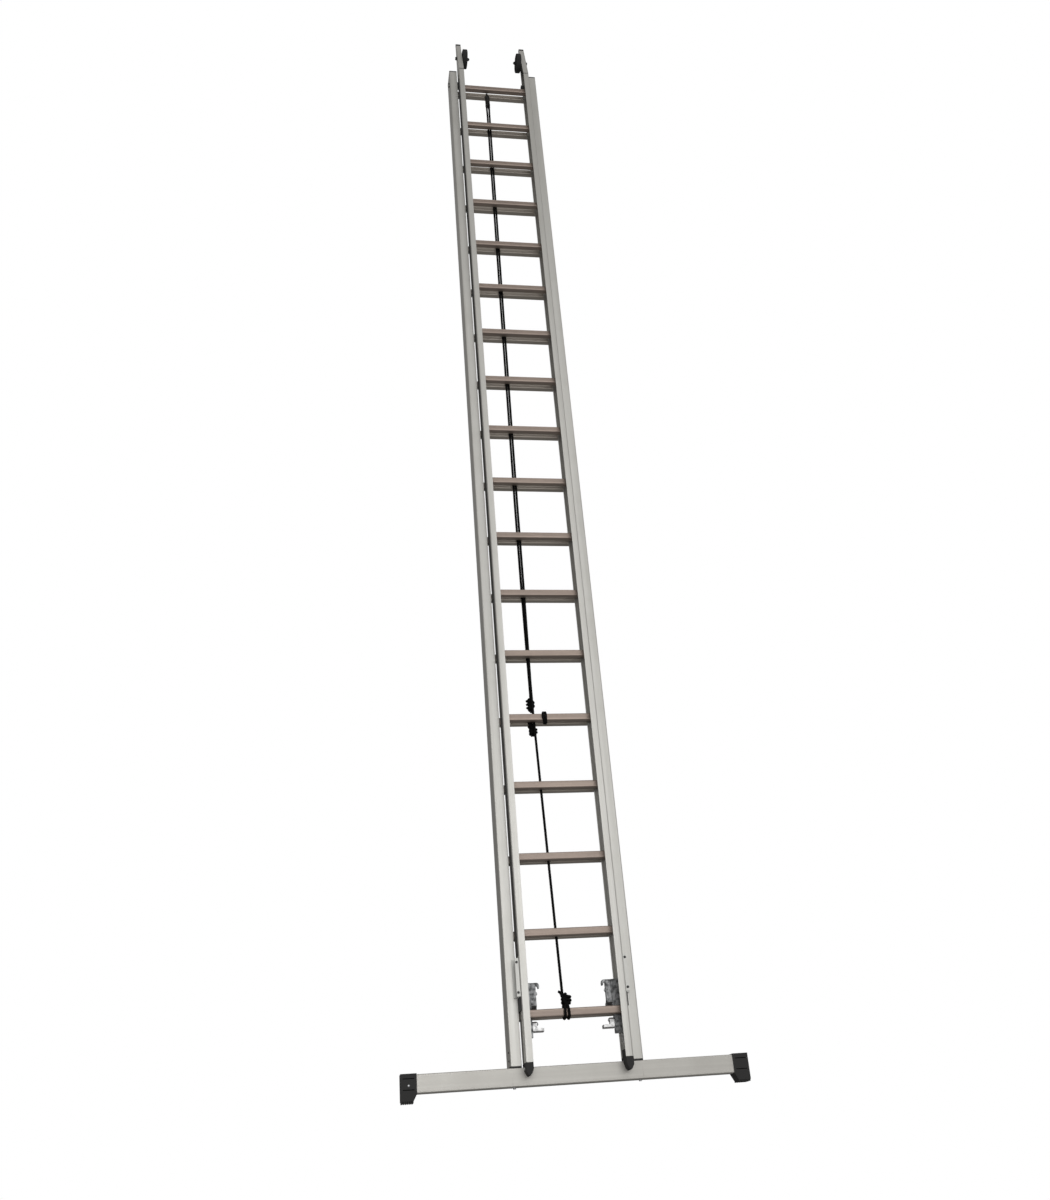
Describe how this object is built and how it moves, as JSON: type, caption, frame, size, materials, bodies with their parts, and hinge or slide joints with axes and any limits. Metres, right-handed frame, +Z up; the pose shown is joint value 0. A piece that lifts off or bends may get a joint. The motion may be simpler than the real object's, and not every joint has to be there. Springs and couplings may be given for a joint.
{
  "type": "extension ladder",
  "caption": "Two-section aluminium extension ladder with a hoisting rope and pulley, automatic rung locks, wall rollers and a wide stabiliser crossbar.",
  "frame": {"origin": "on the ground under the middle of the ladder's box", "axes": "+Z up the stiles, X along the rungs, -Y the climbing side"},
  "size_m": [1.236, 0.148, 5.4],
  "materials": {
    "stile_aluminium": "satin anodised extrusion",
    "rung_aluminium": "mill-finish extrusion, warm grey, ribbed tread",
    "bar_aluminium": "satin anodised tube",
    "zinc_steel": "zinc plated",
    "cast_alloy": "cast, slightly rough",
    "black_plastic": "moulded, fine texture",
    "black_rubber": "moulded, matt",
    "black_rope": "twisted polypropylene rope, 10 mm"
  },
  "bodies": {
    "base": {"base_stile_left": "stile_aluminium", "base_stile_right": "stile_aluminium", "crossbar": "bar_aluminium", "crossbar_foot_left": "black_rubber", "crossbar_foot_right": "black_rubber", "top_guide_left": "black_plastic", "top_guide_right": "black_plastic", "pulley_yoke": "black_plastic", "rope_lifting_strand": "black_rope", "rope_hauling_strand": "black_rope", "base_rung_01": "rung_aluminium", "base_rung_02": "rung_aluminium", "base_rung_03": "rung_aluminium", "base_rung_04": "rung_aluminium", "base_rung_05": "rung_aluminium", "base_rung_06": "rung_aluminium", "base_rung_07": "rung_aluminium", "base_rung_08": "rung_aluminium", "base_rung_09": "rung_aluminium", "base_rung_10": "rung_aluminium", "base_rung_11": "rung_aluminium", "base_rung_12": "rung_aluminium", "base_rung_13": "rung_aluminium", "base_rung_14": "rung_aluminium", "base_rung_15": "rung_aluminium", "base_rung_16": "rung_aluminium", "base_rung_17": "rung_aluminium", "base_rung_18": "rung_aluminium"},
    "fly": {"fly_stile_left": "stile_aluminium", "fly_stile_right": "stile_aluminium", "lower_guide_left": "zinc_steel", "lower_guide_right": "zinc_steel", "lock_body_left": "cast_alloy", "lock_body_right": "cast_alloy", "fly_rung_01": "rung_aluminium", "fly_rung_02": "rung_aluminium", "fly_rung_03": "rung_aluminium", "fly_rung_04": "rung_aluminium", "fly_rung_05": "rung_aluminium", "fly_rung_06": "rung_aluminium", "fly_rung_07": "rung_aluminium", "fly_rung_08": "rung_aluminium", "fly_rung_09": "rung_aluminium", "fly_rung_10": "rung_aluminium", "fly_rung_11": "rung_aluminium", "fly_rung_12": "rung_aluminium", "fly_rung_13": "rung_aluminium", "fly_rung_14": "rung_aluminium", "fly_rung_15": "rung_aluminium", "fly_rung_16": "rung_aluminium", "fly_rung_17": "rung_aluminium", "fly_rung_18": "rung_aluminium"},
    "sheave": {"pulley_sheave": "black_plastic"},
    "hook_left": {"lock_hook_left": "cast_alloy"},
    "finger_left": {"trip_finger_left": "cast_alloy"},
    "roller_left": {"wall_roller_left": "black_rubber"},
    "hook_right": {"lock_hook_right": "cast_alloy"},
    "finger_right": {"trip_finger_right": "cast_alloy"},
    "roller_right": {"wall_roller_right": "black_rubber"}
  },
  "joints": [
    {"name": "fly_slide", "type": "slide", "parent": "base", "child": "fly", "axis": [0, 0, 1], "range_m": [0, 4.36], "deforming": ["rope_lifting_strand"]},
    {"name": "sheave_spin", "type": "hinge", "parent": "base", "child": "sheave", "pos_m": [-0.036, -0.0028, 4.935], "axis": [0.8192, 0.5736, 0], "continuous": true},
    {"name": "hook_pivot_left", "type": "hinge", "parent": "fly", "child": "hook_left", "pos_m": [-0.138, -0.008, 0.335], "axis": [1, 0, 0], "range_deg": [-22, 0], "stiffness_Nm_per_rad": 0.4},
    {"name": "finger_pivot_left", "type": "hinge", "parent": "fly", "child": "finger_left", "pos_m": [-0.14, -0.008, 0.232], "axis": [1, 0, 0], "range_deg": [-30, 30], "stiffness_Nm_per_rad": 0.4},
    {"name": "roller_spin_left", "type": "hinge", "parent": "fly", "child": "roller_left", "pos_m": [-0.1485, -0.024, 5.265], "axis": [1, 0, 0], "continuous": true},
    {"name": "hook_pivot_right", "type": "hinge", "parent": "fly", "child": "hook_right", "pos_m": [0.138, -0.008, 0.335], "axis": [1, 0, 0], "range_deg": [-22, 0], "stiffness_Nm_per_rad": 0.4},
    {"name": "finger_pivot_right", "type": "hinge", "parent": "fly", "child": "finger_right", "pos_m": [0.14, -0.008, 0.232], "axis": [1, 0, 0], "range_deg": [-30, 30], "stiffness_Nm_per_rad": 0.4},
    {"name": "roller_spin_right", "type": "hinge", "parent": "fly", "child": "roller_right", "pos_m": [0.1485, -0.024, 5.265], "axis": [1, 0, 0], "continuous": true}
  ],
  "couplings": [
    {"joint": "sheave_spin", "follows": "fly_slide", "rad_per_m": -105.26}
  ]
}
